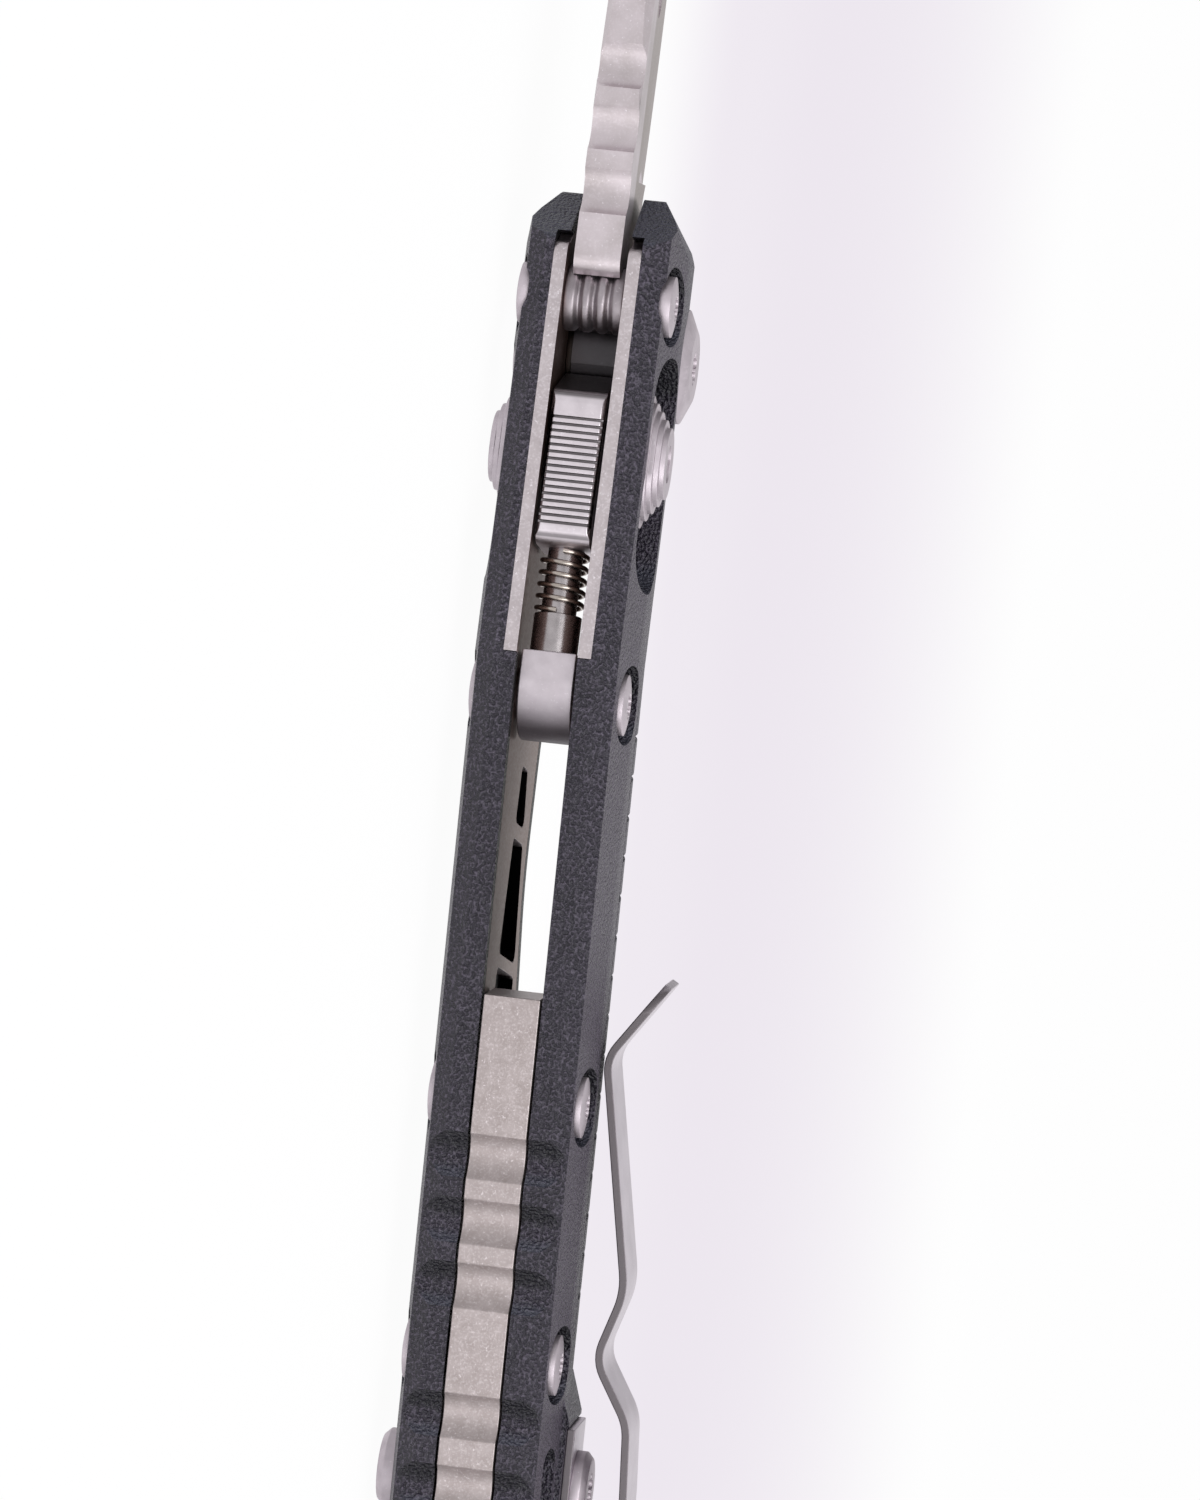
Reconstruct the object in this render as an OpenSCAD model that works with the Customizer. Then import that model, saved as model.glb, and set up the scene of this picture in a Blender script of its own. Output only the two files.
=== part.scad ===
// Folding knife with a sliding lock that lies open in the spine.
// Two grooved polymer scales nest steel liners; blade, stop pin, lock, spring block and
// backspacer lie between them. All is drawn from the blade's pivot: the open blade
// points along +X, the spine faces +Y and the clip side faces +Z. place() then moves
// the knife so that it lies on its left side with its box centred over the origin.

/* [Blade] */
// Thickness of the blade
blade_thickness = 4.2; // [3.6:0.1:4.6]
// From the pivot to the point
blade_reach = 97.5; // [90:0.5:99]
// Height of the point above the pivot
point_height = 4.5; // [3:0.1:6]
// From the pivot forward to the heel of the edge
heel_ahead = 17.5; // [17:0.1:20]
// From the pivot down to the heel
heel_drop = 7.6; // [7:0.1:7.8]
// From the pivot down to the flat under the tang
ricasso_drop = 4.3; // [4.1:0.1:4.6]
// Radius of the round tang
tang_radius = 8.5; // [8.3:0.05:8.6]
// Thickness left behind the edge
edge_thickness = 0.85; // [0.6:0.05:1]
// Height of the sharpened bevel
edge_bevel = 1.1; // [0.8:0.1:1.5]
// Length of the thumb hole
thumb_hole_length = 16; // [12:0.5:18]
// Height of the thumb hole
thumb_hole_height = 8; // [6:0.2:8.6]
// From the pivot forward to the middle of the thumb hole
thumb_hole_ahead = 38.5; // [36:0.5:44]

/* [Handle] */
// Height of the spine above the pivot
spine_height = 15; // [14.6:0.1:15.4]
// From the pivot back to where the spine bends down
bend_back = 29.5; // [29.5:0.1:31]
// Angle by which the rear of the spine drops
spine_drop = 10.5; // [9.5:0.1:11]
// From the pivot forward to the nose
nose_ahead = 13.6; // [13:0.1:14.4]
// From the pivot back to the butt
butt_back = 113.5; // [112.5:0.5:118]
// Thickness of a liner
liner_thickness = 1.2; // [1:0.05:1.4]
// How far the liner stays inside the scale's outline
liner_inset = 1.5; // [1.2:0.1:1.8]
// Thickness of a scale where its face leaves the flat spine edge
scale_edge = 2; // [1.8:0.05:2.2]
// Thickness of a scale at its first ridge
scale_ridge = 3.6; // [3.5:0.05:3.8]
// Thickness of a scale at its crown
scale_crown = 4.75; // [4.6:0.05:5]
// Radius of the crowned side
crown_radius = 42; // [38:1:60]
// Distance between the grooves across a scale
groove_pitch = 3.65; // [3.2:0.05:4.5]
// Depth of those grooves
groove_depth = 0.3; // [0.2:0.05:0.4]

/* [Pivot and stop] */
// Radius of the pivot barrel
barrel_radius = 3; // [2.6:0.1:3.2]
// Radius of a washer
washer_radius = 7.5; // [6.5:0.1:8]
// Thickness of a washer
washer_thickness = 0.6; // [0.4:0.05:0.8]
// Radius of the pivot's heads
pivot_head_radius = 5.25; // [4.6:0.05:5.4]
// Radius of the stop pin
stop_radius = 3; // [2.8:0.05:3]
// From the pivot forward to the stop pin
stop_ahead = 3.4; // [3.3:0.05:3.8]
// From the pivot up to the stop pin
stop_up = 11.2; // [11.2:0.05:11.5]

/* [Lock] */
// Width of the lock slider
slider_width = 4.9; // [4.6:0.1:5.2]
// From the pivot back to the slider's rear face
slider_back = 19.5; // [19:0.1:19.8]
// How far the slider draws back
slider_draw = 3; // [2.6:0.1:3]
// How far the slider drops into the tang
slider_drop = 1; // [0.8:0.05:1.1]
// Number of grooves across the slider
slider_grooves = 16; // [12:1:18]
// Length of a thumb button
button_length = 13.5; // [12:0.1:14]
// Height of a thumb button
button_height = 7.5; // [6.8:0.1:7.8]
// Height of a button above the inner face of its scale
button_rise = 5.25; // [5:0.05:5.8]
// Diameter of the spring's wire
wire = 0.45; // [0.35:0.01:0.48]
// Turns of the spring
spring_turns = 5; // [4:0.25:5.5]
// Radius of the rod that guides the spring
rod_radius = 1.6; // [1.4:0.05:1.7]

/* [Back] */
// Length of the spring block
block_length = 7.5; // [7:0.1:9]
// Radius of the spring block's rear shoulder
block_round = 5; // [3:0.1:6]
// From the bend back to the front of the backspacer
spacer_back = 30.8; // [29:0.1:33]
// Depth of the backspacer
spacer_depth = 6; // [5.6:0.1:6.2]
// Width of the backspacer
spacer_width = 5.1; // [4.8:0.1:5.4]
// Depth of a scallop in the spine
scallop_depth = 0.9; // [0.6:0.05:1.1]

/* [Screws and clip] */
// Radius of a body screw's head
screw_head_radius = 2.75; // [2.4:0.05:2.8]
// Radius of a body screw's shank
screw_radius = 1.1; // [0.9:0.05:1.3]
// Radius of the rear bolt's heads
bolt_head_radius = 3.6; // [3.2:0.1:4]
// Radius of the rear bolt's shank
bolt_radius = 1.5; // [1.2:0.05:1.8]
// Thickness of the pocket clip
clip_thickness = 0.75; // [0.65:0.05:1]
// Width of the pocket clip
clip_width = 7.4; // [6.8:0.1:9]

/* [Hidden] */
$fn = 64;

run_gap = 0.05;   // radial clearance of what turns or slides
face_gap = 0.1;   // clearance between faces that pass each other
seat_gap = 0.02;  // gap left where a part only rests on another
cut = 1;          // how far a cutter reaches past what it cuts

half_blade = blade_thickness / 2;
inner = half_blade + washer_thickness + run_gap;   // inner face of each liner
half_slider = slider_width / 2;
stop = [stop_ahead, stop_up];

// The rear frame starts at the bend, and its spine lies along its own -X.
function rear(p) = [-bend_back + p[0] * cos(spine_drop) - p[1] * sin(spine_drop),
                    spine_height + p[0] * sin(spine_drop) + p[1] * cos(spine_drop)];
function spine_at(x) = spine_height - max(0, -bend_back - x) * tan(spine_drop);

// Screws, as [along, down] in the rear frame
block_screw = [-4.1, -5];
spacer_screws = [[-40.5, -4.6], [-64, -4.6]];
clip_near = 7.6;        // from the spine down to the near edge of the clip
bolt = [-76.3, -clip_near - clip_width / 2];
screw_seat = 3.15;      // where a screw head sits, from the inner face
screw_head = 1.35;      // height of a screw head
shank_reach = 1.9;      // how far a screw enters the part between the scales
pivot_seat = 3;         // where the pivot's heads sit, from the inner face
bolt_nut_seat = 3.6;    // where the rear bolt's left head sits
bolt_nut_rise = 2.8;    // height of that head

// Corners of the handle as [x, y, radius], with the butt's top on the spine
butt_top = [-butt_back, spine_at(-butt_back), 4.5];
handle_corners = [
    [-bend_back, spine_height, 12], butt_top, [-butt_back - 0.4, -21, 6], [-106.5, -25, 5],
    [-98, -21.8, 25], [-78, -18.2, 40], [-61, -16.4, 16], [-47.5, -9.6, 20], [-34, -8.8, 14],
    [-23, -12.4, 12],
    [-6, -11.8, 12], [1.5, -15.2, 5], [7.5, -15.4, 2.4], [nose_ahead - 2.2, -8.5, 8],
    [nose_ahead, 8.4, 1.6], [nose_ahead - 5.4, spine_height, 1.2]
];

// Clip, in the rear frame, as [along, out from the inner face, radius]
clip_foot_seat = 5.2;
clip_back = -87.6;
clip_line = [
    [-70.2, clip_foot_seat + clip_thickness / 2], [clip_back, clip_foot_seat + clip_thickness / 2, 2.4],
    [clip_back, 11.2, 2.4], [-76, 10.9, 12], [-69.2, 10.5, 5], [-63.6, 7.1, 3.6], [-57.2, 9.1, 7],
    [-36.2, 5.35, 3.4], [-29.2, 10.2]
];

tip = [blade_reach, point_height];
low_side = inner + bolt_nut_seat + bolt_nut_rise; // left head of the rear bolt, on which it lies
function handle_bottom() = min([for (p = rounded(handle_corners)) p[1]]);
function clip_back_x() = rear([clip_back - clip_thickness / 2, -clip_near])[0];
function middle() = [(blade_reach + clip_back_x()) / 2, (spine_height + handle_bottom()) / 2];

module place() translate([-middle()[0], -middle()[1], low_side]) children();
module on_side(s) { if (s > 0) children(); else mirror([0, 0, 1]) children(); }
module in_rear() translate([-bend_back, spine_height, 0]) rotate([0, 0, spine_drop]) children();
module at(p, z = 0) translate([p[0], p[1], z]) children();
function flat(p) = [p[0], p[1]];
function unit(v) = v / norm(v);

// Points round one corner q = [x, y, r] between p and s, moved in by inset
function corner(p, q, s, inset, steps) =
    let (u = unit(flat(p) - flat(q)), v = unit(flat(s) - flat(q)), half = acos(u * v) / 2,
         middle = flat(q) + unit(u + v) * q[2] / sin(half), side = sign(cross(v, u)),
         a = flat(q) + u * q[2] / tan(half) - middle, b = flat(q) + v * q[2] / tan(half) - middle,
         from = atan2(a[1], a[0]), turn = (atan2(b[1], b[0]) - from + 540) % 360 - 180,
         r = max(0.02, q[2] - side * inset))
    [for (k = [0:steps]) middle + r * [cos(from + turn * k / steps), sin(from + turn * k / steps)]];
function wrap(pts, i) = pts[(i + len(pts)) % len(pts)];
function rounded(pts, inset = 0, steps = 7) = [
    for (i = [0:len(pts) - 1])
        for (p = corner(wrap(pts, i - 1), pts[i], wrap(pts, i + 1), inset, steps)) p
];

// A strip of even thickness along an open line of rounded corners
function normal_of(a, b) = let (d = unit(flat(b) - flat(a))) [-d[1], d[0]];
function edge_of(pts, off) = let (n = len(pts) - 1) concat(
    [flat(pts[0]) + off * normal_of(pts[0], pts[1])],
    [for (i = [1:n - 1]) for (p = corner(pts[i - 1], pts[i], pts[i + 1], off, 6)) p],
    [flat(pts[n]) + off * normal_of(pts[n - 1], pts[n])]);
function reversed(v) = [for (i = [len(v) - 1:-1:0]) v[i]];
function strip(pts, t) = concat(edge_of(pts, t / 2), reversed(edge_of(pts, -t / 2)));

// A solid through a row of rings with equal numbers of points
module loft(rings) {
    n = len(rings[0]);
    last = (len(rings) - 1) * n;
    polyhedron(points = [for (ring = rings) each ring],
        faces = concat(
            [for (k = [1:n - 2]) [0, k + 1, k]],
            [for (k = [1:n - 2]) [last, last + k, last + k + 1]],
            [for (j = [0:len(rings) - 2]) for (i = [0:n - 1])
                let (a = j * n + i, b = j * n + (i + 1) % n) each [[a, b, a + n], [b, b + n, a + n]]]));
}

// A slot with round ends along X
module obround(length, height, depth) {
    r = height / 2;
    translate([-(length - height) / 2, -r, 0]) cube([length - height, height, depth]);
    for (end = [-1, 1]) translate([end * (length - height) / 2, 0, 0]) cylinder(r = r, h = depth);
}

// ---- Handle ----

// Section of a scale across the spine: flat edge, ridge, slope and crown
slope_depth = 6.5;
slope_top = scale_crown - 0.08;
crown_line = 8.5;       // depth below the spine of the thickest line
side_reach = 45;        // deeper than any part of the handle
lower_edge = 2.3;       // least thickness of a scale below its crown
module scale_section(length) {
    intersection() {
        translate([0, 0, inner]) rotate([90, 0, 90]) linear_extrude(length)
            polygon([[0, 0], [0, scale_edge], [-1, scale_ridge], [-slope_depth, slope_top],
                     [-crown_line, scale_crown + 0.1], [-side_reach, scale_crown + 0.1],
                     [-side_reach, 0]]);
        translate([-cut, -crown_line, inner + scale_crown - crown_radius]) rotate([0, 90, 0])
            cylinder(r = crown_radius, h = length + 2 * cut, $fn = 120);
    }
}
// Keeps the lower edge from running out thin, across the bend
module lower_plate() translate([0, 0, inner]) linear_extrude(lower_edge)
    polygon([[-120, spine_at(-120) - crown_line], [-bend_back, spine_height - crown_line],
             [40, spine_height - crown_line], [40, -40], [-120, -40]]);
// Half spaces that meet at the bend
module behind_bend() translate([-bend_back, spine_height, 0]) rotate([0, 0, spine_drop / 2])
    translate([-200, -100, 0]) cube([200, 200, 40]);
module ahead_of_bend() translate([-bend_back, spine_height, 0]) rotate([0, 0, spine_drop / 2])
    translate([0, -100, 0]) cube([200, 200, 40]);

// Shallow grooves across the rear of a crowned side, and a fine one along their top
panel_front = -4;
panel_length = 58;
panel_top = 9.5;        // depth below the spine
panel_height = 9.5;
groove_width = 0.6;
module side_grooves() in_rear() difference() {
    union() {
        for (x = [groove_pitch:groove_pitch:panel_length])
            translate([panel_front - x, -panel_top - panel_height, inner])
                cube([groove_width, panel_height, 10]);
        translate([panel_front - panel_length, -panel_top - groove_width / 2, inner])
            cube([panel_length, groove_width / 2, 10]);
    }
    translate([-120, -crown_line, inner + scale_crown - crown_radius]) rotate([0, 90, 0])
        cylinder(r = crown_radius - groove_depth, h = 140);
}

// Scallops across the rear of the spine, as the middles of the valleys
scallops = [-45.4, -51.3, -57.1, -68.9, -75.5];
scallop_width = 4.1;
scallop_radius = (scallop_width * scallop_width / 4 + scallop_depth * scallop_depth)
                 / (2 * scallop_depth);
module spine_scallops() in_rear() for (s = scallops)
    translate([s, scallop_radius - scallop_depth, -30]) cylinder(r = scallop_radius, h = 60);

// The liner's own outline; its pocket in the scale grows by the clearance and reaches ahead
pocket_ahead = 1;
function liner_front() = nose_ahead - 5.7;
module liner_outline(grow = 0, ahead = 0) {
    front = liner_front() + grow + ahead;
    low = spine_height - 5;
    polygon(rounded(handle_corners, liner_inset - grow));
    polygon(concat([[-bend_back - grow, low], [front, low]],
        corner([front, low], [front, spine_height + min(grow, 0), 1.2], [-bend_back, spine_height], 0, 5),
        [[-bend_back - grow, spine_height]]));
}

// Slot through scale and liner for a button's neck
neck = [5, 3.2];
button_at = [-10.45, spine_height - 6];
module neck_slot(depth) at([button_at[0] + (slider_drop - slider_draw) / 2, button_at[1]])
    obround(neck[0] + slider_draw + slider_drop + 0.6, neck[1] + 0.4, depth);

pocket_floor = 2.2;
module button_pocket() at([-11.65, button_at[1]], inner + pocket_floor) obround(21.5, 8.5, 10);
module screw_pocket() translate([0, 0, inner + screw_seat])
    obround(2 * screw_head_radius + 1.7, 2 * screw_head_radius + 0.6, 10);
module body_screw_places() {
    at(stop) children();
    at(rear(block_screw)) rotate(spine_drop) children();
    for (p = spacer_screws) at(rear(p)) rotate(spine_drop) children();
}

// Pad for the clip's foot on the right scale, with a ramp ahead of it
pad_front = -70;
ramp_rise = 0.2;        // how far the ramp stands above the pad
module clip_pad() in_rear() {
    middle = -clip_near - clip_width / 2;
    at([pad_front - 7.8, middle], inner) obround(15.6, clip_width + 2, clip_foot_seat);
    translate([pad_front, middle + clip_width / 2 + 0.5, inner]) rotate([90, 0, 0])
        linear_extrude(clip_width + 1)
            polygon([[-4, 3], [4, 3], [4, scale_crown - 0.5], [0.4, clip_foot_seat + ramp_rise],
                     [0, clip_foot_seat + ramp_rise], [0, clip_foot_seat], [-4, clip_foot_seat]]);
}
// Long recess in the right scale between its spine edge and the clip
module rear_recess() in_rear() at([-78.6, -4.5], inner + 3) obround(14, 3.2, 10);

module scale(s) on_side(s) difference() {
    union() {
        intersection() {
            translate([0, 0, inner]) linear_extrude(30) polygon(rounded(handle_corners));
            union() {
                intersection() {
                    translate([-60, spine_height, 0]) scale_section(90);
                    ahead_of_bend();
                }
                intersection() {
                    in_rear() translate([-110, 0, 0]) scale_section(130);
                    behind_bend();
                }
                lower_plate();
            }
        }
        if (s > 0) clip_pad();
    }
    translate([0, 0, inner - cut]) linear_extrude(liner_thickness + cut)
        liner_outline(run_gap, pocket_ahead);
    side_grooves();
    if (s > 0) rear_recess();
    spine_scallops();
    // chamfered nose and butt
    translate([nose_ahead, 40, inner]) rotate([90, 0, 0]) linear_extrude(80)
        polygon([[0.3, 1.7], [-2.3, 3.35], [-5.5, scale_crown + 0.1], [-5.5, 9], [3, 9], [3, 1.7]]);
    translate([-butt_back, 40, inner]) rotate([90, 0, 0]) linear_extrude(80)
        polygon([[-0.9, 2.4], [2.4, 5.05], [2.4, 5.19], [-3, 5.19], [-3, 2.4]]);
    button_pocket();
    translate([0, 0, inner - cut]) neck_slot(10);
    body_screw_places() {
        screw_pocket();
        translate([0, 0, inner]) cylinder(r = screw_radius + face_gap, h = 20);
    }
    // pivot head's seat
    translate([0, 0, inner]) cylinder(r = barrel_radius + run_gap, h = 20);
    translate([0, 0, inner + pivot_seat]) cylinder(r = pivot_head_radius + face_gap, h = 20);
    at(rear(bolt), inner) cylinder(r = bolt_radius + face_gap, h = 20);
    if (s < 0) at(rear(bolt), inner + bolt_nut_seat) cylinder(r = bolt_head_radius + 0.2, h = 20);
}
module left_scale() color("#3c3d42") place() scale(-1);
module right_scale() color("#3c3d42") place() scale(1);

// Windows along the middle of a liner, with bars left between them; they deepen to the rear
windows = [[-38.2, -43.4], [-44.8, -55.4], [-56.6, -66], [-67.4, -84]];
function window_top(x) = 1.6 - 0.15 * max(0, -58 - x);
function window_bottom(x) = -2 - 0.43 * min(20, -38 - x) - 0.12 * max(0, -58 - x);
module window(w) polygon(rounded([[w[0], window_bottom(w[0]), 0.8], [w[0], window_top(w[0]), 0.8],
    [w[1], window_top(w[1]), 0.8], [w[1], window_bottom(w[1]), 0.8]], 0, 3));
module liner(s) on_side(s) difference() {
    translate([0, 0, inner]) linear_extrude(liner_thickness) liner_outline();
    translate([0, 0, inner - cut]) {
        for (w = windows) linear_extrude(5) window(w);
        cylinder(r = barrel_radius + run_gap / 2, h = 5);
        body_screw_places() cylinder(r = screw_radius + face_gap, h = 5);
        at(rear(bolt)) cylinder(r = bolt_radius + face_gap, h = 5);
        neck_slot(5);
    }
}
module left_liner() color("#c8bec3") place() liner(-1);
module right_liner() color("#c8bec3") place() liner(1);

// ---- Blade ----

spine_break = [24, spine_height];
spine_pull = [66, spine_height];
heel = [heel_ahead, -heel_drop];
edge_pull = [50, -11.6];
grind_from = [14.6, spine_height - 4.2];
grind_pull = [62, spine_height - 4.6];
grind_to = tip + [-1.4, 1.4];
edge_flat = 0.2;        // thickness of the very edge
function curve(a, b, c, t) = (1 - t) * (1 - t) * a + 2 * t * (1 - t) * b + t * t * c;
function spine_curve(t) = curve(spine_break, spine_pull, tip, t);
function edge_curve(t) = curve(heel, edge_pull, tip, t);
function grind_curve(t) = curve(grind_from, grind_pull, grind_to, t);
blade_steps = 24;

// A face ground on the right side: at each step it falls from the flat at high, where it
// starts, to z above the middle at low, and on along more. It runs a little past both ends.
over = 0.06;
function ground_ring(high, low, z, more = []) =
    let (run = high - low, top = high + over * run, end = low - over * run, out = half_blade + cut)
    concat([[top[0], top[1], half_blade + over * (half_blade - z)]],
           len(more) > 0 ? more : [[end[0], end[1], z - over * (half_blade - z)]],
           [[end[0], end[1] - (len(more) > 0 ? cut : 0), out], [top[0], top[1], out]]);
// Main bevel, then the sharpened one down to the edge
past_tip = 1.02;        // how far the ground face runs on along its curves
module grind() loft([for (k = [0:blade_steps]) let (t = past_tip * k / blade_steps, edge = edge_curve(t),
    high = grind_curve(t), down = unit(edge - high), share = min(1, norm(edge - high) / 6),
    bevel = edge_bevel * share, shoulder = edge - bevel * down, below = edge + 0.3 * bevel * down,
    half = edge_flat / 2, rise = edge_thickness / 2 - half)
    ground_ring(high, shoulder, edge_thickness / 2,
        [[shoulder[0], shoulder[1], edge_thickness / 2], [below[0], below[1], half - 0.3 * rise]])]);
// Swedge along the spine, from nothing over the thumb ramp to a narrow back near the point
swedge_start = -0.045;  // on the spine's curve
swedge_rate = 5.2;      // how fast it cuts in along that curve
function swedge_inset(t) = (0.08 + min(half_blade - 0.55, swedge_rate * (t - swedge_start)))
    * (1 - max(0, t - 0.7));
module swedge() loft([for (k = [0:blade_steps])
    let (t = swedge_start + (1 - swedge_start) * k / blade_steps, inset = swedge_inset(t),
         n = normal_of(spine_curve(t - 0.01), spine_curve(t + 0.01)),
         deep = 0.2 + 1.3 * inset + 1.2 * max(0, t))
    reversed(ground_ring(spine_curve(t) - deep * n, spine_curve(t) + 0.02 * n,
                         half_blade - inset))]);

// Valleys of the thumb ramp, ahead of the pivot
ramp = [12.6, 18.4, 24.2];
ramp_width = 4.1;
ramp_depth = 0.95;
ramp_radius = (ramp_width * ramp_width / 4 + ramp_depth * ramp_depth) / (2 * ramp_depth);

// The slider's outline; grow makes the cutter for its notches
slider_top = spine_height - 0.1;
slider_bottom = 4;
slider_front = -5.7;    // its top edge over the tang
slider_round = 1.6;     // radius of its top edges
slider_step = -11.5;    // where its underside steps up
slider_step_up = spine_height - 8;
slider_nose = 110.4;    // angle on the tang at which its nose ends
lock_radius = tang_radius + face_gap;
function on_tang(a, r) = r * [cos(a), sin(a)];
function slider_outline(grow = 0) =
    let (r = lock_radius - grow, last = 180 - asin((slider_bottom - grow) / r))
    concat(corner([-slider_back, slider_top], [slider_front + grow, slider_top, slider_round],
                  on_tang(slider_nose, r) + [grow, 0], 0, 6),
        [for (k = [0:10]) on_tang(slider_nose + (last - slider_nose) * k / 10, r)
                          + [k == 0 ? grow : 0, 0]],
        [[slider_step, slider_bottom - grow], [slider_step, slider_step_up],
         [-slider_back, slider_step_up]],
        corner([-slider_back, slider_step_up], [-slider_back, slider_top, slider_round],
               [slider_front, slider_top], 0, 6));

closing_turn = 176;
choil_radius = 4.1;
choil_up = 0.6;
module lock_notch() translate([slider_drop, 0, -10]) linear_extrude(20)
    polygon(slider_outline(run_gap));
module blade() color("#c8bec3") place() difference() {
    translate([0, 0, -half_blade]) linear_extrude(blade_thickness) union() {
        circle(r = tang_radius);
        polygon(concat([[0, 0]], [[heel_ahead - 10, -ricasso_drop], [heel_ahead, -ricasso_drop]],
            [for (k = [0:blade_steps]) edge_curve(k / blade_steps)],
            [for (k = [blade_steps - 1:-1:0]) spine_curve(k / blade_steps)],
            corner(spine_break, [stop_ahead + 2.5, spine_height, 1.6], stop, 0, 5), [stop]));
    }
    translate([0, 0, -cut - half_blade]) {
        cylinder(r = barrel_radius + run_gap, h = blade_thickness + 2 * cut);
        at(stop) cylinder(r = stop_radius + face_gap, h = blade_thickness + 2 * cut);
        at([thumb_hole_ahead, 7.7])
            obround(thumb_hole_length, thumb_hole_height, blade_thickness + 2 * cut);
        // finger notch between tang and heel
        at([heel_ahead - choil_radius, choil_up]) cylinder(r = choil_radius, h = blade_thickness + 2 * cut);
        translate([heel_ahead - 2 * choil_radius, -20, 0])
            cube([2 * choil_radius, 20 + choil_up, blade_thickness + 2 * cut]);
        for (x = ramp) at([x, spine_height + ramp_radius - ramp_depth])
            cylinder(r = ramp_radius, h = blade_thickness + 2 * cut);
    }
    for (s = [-1, 1]) on_side(s) {
        grind();
        swedge();
    }
    lock_notch();
    rotate([0, 0, closing_turn]) lock_notch();
}

// ---- Pivot and stop pin ----

module washer(s) on_side(s) difference() {
    translate([0, 0, inner - washer_thickness]) cylinder(r = washer_radius, h = washer_thickness);
    cylinder(r = barrel_radius + run_gap, h = inner + cut);
}
module left_washer() color("#8f8a8c") place() washer(-1);
module right_washer() color("#8f8a8c") place() washer(1);

pivot_bore = 1.8;
barrel_half = inner + pivot_seat;
module pivot_barrel() color("#969196") place() difference() {
    translate([0, 0, -barrel_half]) cylinder(r = barrel_radius, h = 2 * barrel_half);
    translate([0, 0, -barrel_half - cut]) cylinder(r = pivot_bore, h = 2 * (barrel_half + cut));
}
pivot_head_rise = 2.4;
module star_recess(r, depth) {
    cylinder(r = r * 0.72, h = depth);
    for (a = [0:60:300]) rotate(a) translate([r * 0.72, 0, 0]) cylinder(r = r * 0.28, h = depth);
}
module pivot_head() difference() {
    union() {
        cylinder(r = pivot_head_radius, h = 1.5);
        translate([0, 0, 1.5]) cylinder(r1 = pivot_head_radius, r2 = pivot_head_radius - 2,
                                        h = pivot_head_rise - 1.5);
    }
    translate([0, 0, pivot_head_rise - 1.3]) star_recess(1.6, 2);
}
module pivot_screw() color("#c8bec3") place() {
    translate([0, 0, barrel_half]) pivot_head();
    translate([0, 0, -0.5]) cylinder(r = pivot_bore - face_gap, h = barrel_half + 0.5);
}
module pivot_nut() color("#c8bec3") place() on_side(-1) {
    translate([0, 0, barrel_half]) pivot_head();
    translate([0, 0, 0.5 + face_gap]) cylinder(r = pivot_bore - face_gap,
                                               h = barrel_half - 0.5 - face_gap);
}

// Three round grooves in the stop pin, as the middle of each along the pin
stop_grooves = [-1.38, 0, 1.38];
stop_groove_half = 0.48;
stop_groove_depth = 0.4;
function groove_side(g) = [for (k = [-3:3]) [stop_radius - stop_groove_depth * (1 + cos(60 * k)) / 2,
                                             g + k * stop_groove_half / 3]];
module stop_pin() color("#969196") place() at(stop) rotate_extrude()
    polygon(concat([[screw_radius + face_gap, -inner], [stop_radius - 0.15, -inner],
                    [stop_radius, -inner + 0.15]], [for (g = stop_grooves) each groove_side(g)],
        [[stop_radius, inner - 0.15], [stop_radius - 0.15, inner], [screw_radius + face_gap, inner]]));

dome_radius = 12;
// Dome-headed body screw: its head sits in a scale, its shank enters the middle part
module body_screw() difference() {
    union() {
        intersection() {
            translate([0, 0, screw_seat]) cylinder(r = screw_head_radius, h = screw_head);
            translate([0, 0, screw_seat + screw_head - dome_radius]) sphere(r = dome_radius, $fn = 96);
        }
        translate([0, 0, -shank_reach]) cylinder(r = screw_radius, h = shank_reach + screw_seat + 0.2);
    }
    translate([0, 0, screw_seat + screw_head - 0.9]) star_recess(1.25, 2);
}
module body_screw_pair(p) for (s = [-1, 1]) on_side(s) at(p, inner) body_screw();
module stop_pin_screws() color("#c8bec3") place() body_screw_pair(stop);
module block_screws() color("#c8bec3") place() body_screw_pair(rear(block_screw));
module backspacer_screws() color("#c8bec3") place()
    for (p = spacer_screws) body_screw_pair(rear(p));

// ---- Lock ----

rod_up = spine_height - 4.2;
rod_bore = 6.5;
button_screw_radius = 0.8;
slider_groove_pitch = 0.635;
slider_groove_width = 0.24;
slider_groove_depth = 0.3;
module lock_slider() color("#969196") place() difference() {
    translate([0, 0, -half_slider]) linear_extrude(slider_width) polygon(slider_outline());
    // fine grooves for the fingertip
    for (k = [0:slider_grooves - 1])
        translate([-8.2 - k * slider_groove_pitch, slider_top - slider_groove_depth, -half_slider - cut])
            cube([slider_groove_width, cut, slider_width + 2 * cut]);
    // eased edges
    for (s = [-1, 1]) on_side(s) translate([-30, slider_top, half_slider]) rotate([90, 0, 90])
        linear_extrude(40) polygon([[-0.45, 0.1], [0.1, 0.1], [0.1, -0.45]]);
    translate([-slider_back - cut, rod_up, 0]) rotate([0, 90, 0])
        cylinder(r = rod_radius + run_gap, h = rod_bore + cut);
    at(button_at, -10) cylinder(r = button_screw_radius + run_gap, h = 20);
}

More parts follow.
